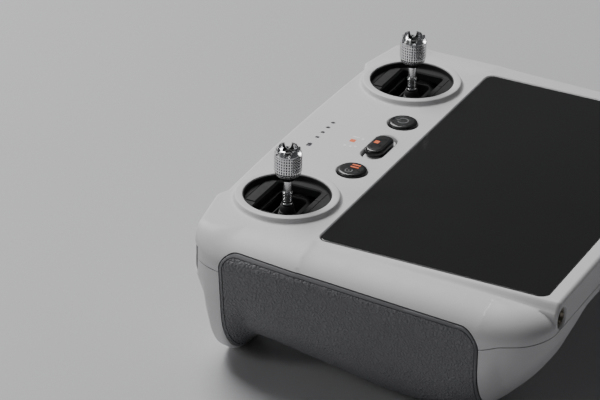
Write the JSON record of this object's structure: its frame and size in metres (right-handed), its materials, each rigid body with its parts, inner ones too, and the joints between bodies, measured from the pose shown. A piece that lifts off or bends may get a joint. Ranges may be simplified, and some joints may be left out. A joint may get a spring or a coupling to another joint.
{
  "type": "drone remote controller",
  "caption": "Handheld drone remote controller with built-in screen, twin self-centring metal sticks, rubber-covered grips, face and edge buttons, dials and a mode slider.",
  "frame": {"origin": "centre of the bounding box in plan, on the surface that the grips rest on when the controller lies on its back", "axes": "+X to the user's right, +Y up the face towards the stick edge, +Z out of the face"},
  "size_m": [0.1684, 0.1238, 0.0627],
  "materials": {
    "shell": "fine satin texture, light warm grey",
    "grip_rubber": "dark grey, leather-like pebble grain",
    "black_plastic": "satin black",
    "gloss_black": "half-gloss black with small printed marks",
    "screen_glass": "black-printed cover glass over an unlit screen",
    "polished_steel": "bright turned metal, knurled on the knobs",
    "screw_steel": "satin steel",
    "brass_insert": "turned, threaded bore",
    "aluminium": "stamped sheet",
    "circuit_board": "green solder mask",
    "cell_wrap": "shrink sleeve",
    "light_lens": "smoked light guide",
    "flex_film": "amber film with copper tracks"
  },
  "bodies": {
    "root": {"front_shell": "shell", "rear_shell": "shell", "left_grip_cover": "grip_rubber", "left_battery_cell": "cell_wrap", "left_stick_housing": "black_plastic", "left_dust_plate": "black_plastic", "left_return_spring": "polished_steel", "left_strap_insert": "brass_insert", "left_antenna": "flex_film", "left_stick_tray": "grip_rubber", "left_screw_1": "screw_steel", "left_screw_2": "screw_steel", "left_screw_3": "screw_steel", "right_grip_cover": "grip_rubber", "right_battery_cell": "cell_wrap", "right_stick_housing": "black_plastic", "right_dust_plate": "black_plastic", "right_return_spring": "polished_steel", "right_strap_insert": "brass_insert", "right_antenna": "flex_film", "right_stick_tray": "grip_rubber", "right_screw_1": "screw_steel", "right_screw_2": "screw_steel", "right_screw_3": "screw_steel", "screen_glass": "screen_glass", "display_panel": "black_plastic", "midframe": "aluminium", "heat_shield": "aluminium", "display_flex": "flex_film", "main_board": "circuit_board", "key_board": "circuit_board", "speaker": "black_plastic", "usb_c_port": "screw_steel", "card_socket": "screw_steel", "led_light_guide": "light_lens", "gimbal_dial_bracket": "black_plastic", "camera_dial_bracket": "black_plastic"},
    "left_ring": {"left_stick_ring": "black_plastic"},
    "left_stick": {"left_stick_block": "black_plastic", "left_stick_shaft": "polished_steel", "left_stick_knob": "polished_steel"},
    "left_custom": {"left_custom_button": "black_plastic"},
    "right_ring": {"right_stick_ring": "black_plastic"},
    "right_stick": {"right_stick_block": "black_plastic", "right_stick_shaft": "polished_steel", "right_stick_knob": "polished_steel"},
    "right_custom": {"right_custom_button": "black_plastic"},
    "return_key": {"return_button": "gloss_black"},
    "power_key": {"power_button": "gloss_black"},
    "mode_switch": {"mode_slider": "gloss_black"},
    "gimbal_wheel": {"gimbal_dial": "shell"},
    "camera_wheel": {"camera_dial": "shell"},
    "record_key": {"record_button": "black_plastic"},
    "shutter_key": {"shutter_button": "black_plastic"}
  },
  "joints": [
    {"name": "left_stick_pitch", "type": "hinge", "parent": "root", "child": "left_ring", "pos_m": [-0.04715, 0.0407, 0.035], "axis": [1, 0, 0], "range_deg": [-22, 22], "stiffness_Nm_per_rad": 0.06},
    {"name": "left_stick_roll", "type": "hinge", "parent": "left_ring", "child": "left_stick", "pos_m": [-0.04715, 0.0407, 0.035], "axis": [0, 1, 0], "range_deg": [-22, 22], "stiffness_Nm_per_rad": 0.06},
    {"name": "right_stick_pitch", "type": "hinge", "parent": "root", "child": "right_ring", "pos_m": [0.04715, 0.0407, 0.035], "axis": [1, 0, 0], "range_deg": [-22, 22], "stiffness_Nm_per_rad": 0.06},
    {"name": "right_stick_roll", "type": "hinge", "parent": "right_ring", "child": "right_stick", "pos_m": [0.04715, 0.0407, 0.035], "axis": [0, 1, 0], "range_deg": [-22, 22], "stiffness_Nm_per_rad": 0.06},
    {"name": "return_button_press", "type": "slide", "parent": "root", "child": "return_key", "axis": [0, 0, -1], "range_m": [0, 0.0006], "stiffness_N_per_m": 400, "springref_m": -0.0004},
    {"name": "power_button_press", "type": "slide", "parent": "root", "child": "power_key", "axis": [0, 0, -1], "range_m": [0, 0.0006], "stiffness_N_per_m": 400, "springref_m": -0.0004},
    {"name": "mode_switch_slide", "type": "slide", "parent": "root", "child": "mode_switch", "axis": [1, 0, 0], "range_m": [-0.0022, 0.0022]},
    {"name": "gimbal_dial_turn", "type": "hinge", "parent": "root", "child": "gimbal_wheel", "pos_m": [-0.041, 0.05725, 0.033], "axis": [1, 0, 0], "range_deg": [-30, 30], "stiffness_Nm_per_rad": 0.01},
    {"name": "camera_dial_turn", "type": "hinge", "parent": "root", "child": "camera_wheel", "pos_m": [0.041, 0.05725, 0.033], "axis": [1, 0, 0], "range_deg": [-30, 30], "stiffness_Nm_per_rad": 0.01},
    {"name": "record_button_press", "type": "slide", "parent": "root", "child": "record_key", "axis": [0.4848, -0.8746, 0], "range_m": [0, 0.001], "stiffness_N_per_m": 400, "springref_m": -0.0004},
    {"name": "shutter_button_press", "type": "slide", "parent": "root", "child": "shutter_key", "axis": [-0.4848, -0.8746, 0], "range_m": [0, 0.001], "stiffness_N_per_m": 400, "springref_m": -0.0004},
    {"name": "left_custom_press", "type": "slide", "parent": "root", "child": "left_custom", "axis": [0, 0, 1], "range_m": [0, 0.0007], "stiffness_N_per_m": 400, "springref_m": -0.0004},
    {"name": "right_custom_press", "type": "slide", "parent": "root", "child": "right_custom", "axis": [0, 0, 1], "range_m": [0, 0.0007], "stiffness_N_per_m": 400, "springref_m": -0.0004}
  ]
}
